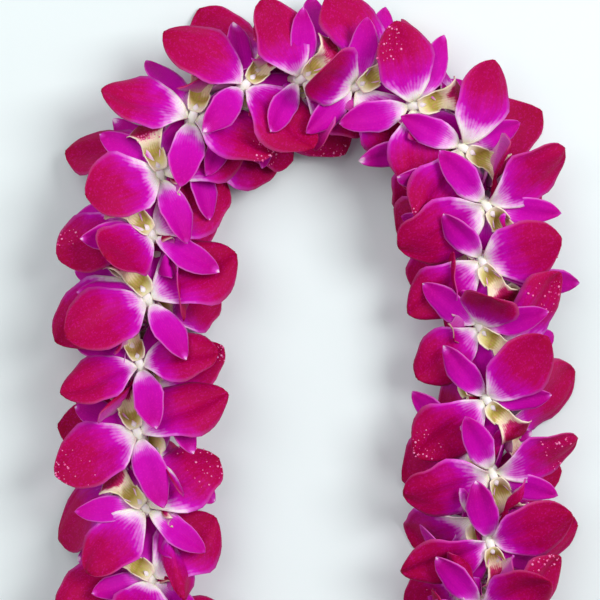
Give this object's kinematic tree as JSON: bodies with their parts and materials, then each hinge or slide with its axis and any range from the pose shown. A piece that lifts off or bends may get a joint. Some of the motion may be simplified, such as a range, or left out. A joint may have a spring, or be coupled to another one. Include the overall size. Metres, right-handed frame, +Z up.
{
  "type": "fresh flower lei",
  "caption": "Neck garland of fresh magenta dendrobium orchid blossoms threaded close together all round one string, laid down as a long loop.",
  "frame": {"origin": "middle of the garland's footprint, on the surface it lies on", "axes": "+Z up off the surface, +Y along the long loop towards its far bend, +X to the right"},
  "size_m": [0.2156, 0.4956, 0.0589],
  "materials": {
    "petal": "fresh satin petals, magenta to crimson, pale at the throat",
    "string": "plain cotton thread"
  },
  "bodies": {
    "root": {"string": "string", "blossom_01": "petal", "blossom_02": "petal", "blossom_03": "petal", "blossom_04": "petal", "blossom_05": "petal", "blossom_06": "petal", "blossom_07": "petal", "blossom_08": "petal", "blossom_09": "petal", "blossom_10": "petal", "blossom_11": "petal", "blossom_12": "petal", "blossom_13": "petal", "blossom_14": "petal", "blossom_15": "petal", "blossom_16": "petal", "blossom_17": "petal", "blossom_18": "petal", "blossom_19": "petal", "blossom_20": "petal", "blossom_21": "petal", "blossom_22": "petal", "blossom_23": "petal", "blossom_24": "petal", "blossom_25": "petal", "blossom_26": "petal", "blossom_27": "petal", "blossom_28": "petal", "blossom_29": "petal", "blossom_30": "petal", "blossom_31": "petal", "blossom_32": "petal", "blossom_33": "petal", "blossom_34": "petal", "blossom_35": "petal", "blossom_36": "petal", "blossom_37": "petal", "blossom_38": "petal", "blossom_39": "petal", "blossom_40": "petal", "blossom_41": "petal", "blossom_42": "petal", "blossom_43": "petal", "blossom_44": "petal", "blossom_45": "petal", "blossom_46": "petal", "blossom_47": "petal", "blossom_48": "petal", "blossom_49": "petal", "blossom_50": "petal", "blossom_51": "petal", "blossom_52": "petal", "blossom_53": "petal", "blossom_54": "petal", "blossom_55": "petal", "blossom_56": "petal", "blossom_57": "petal"}
  },
  "joints": []
}
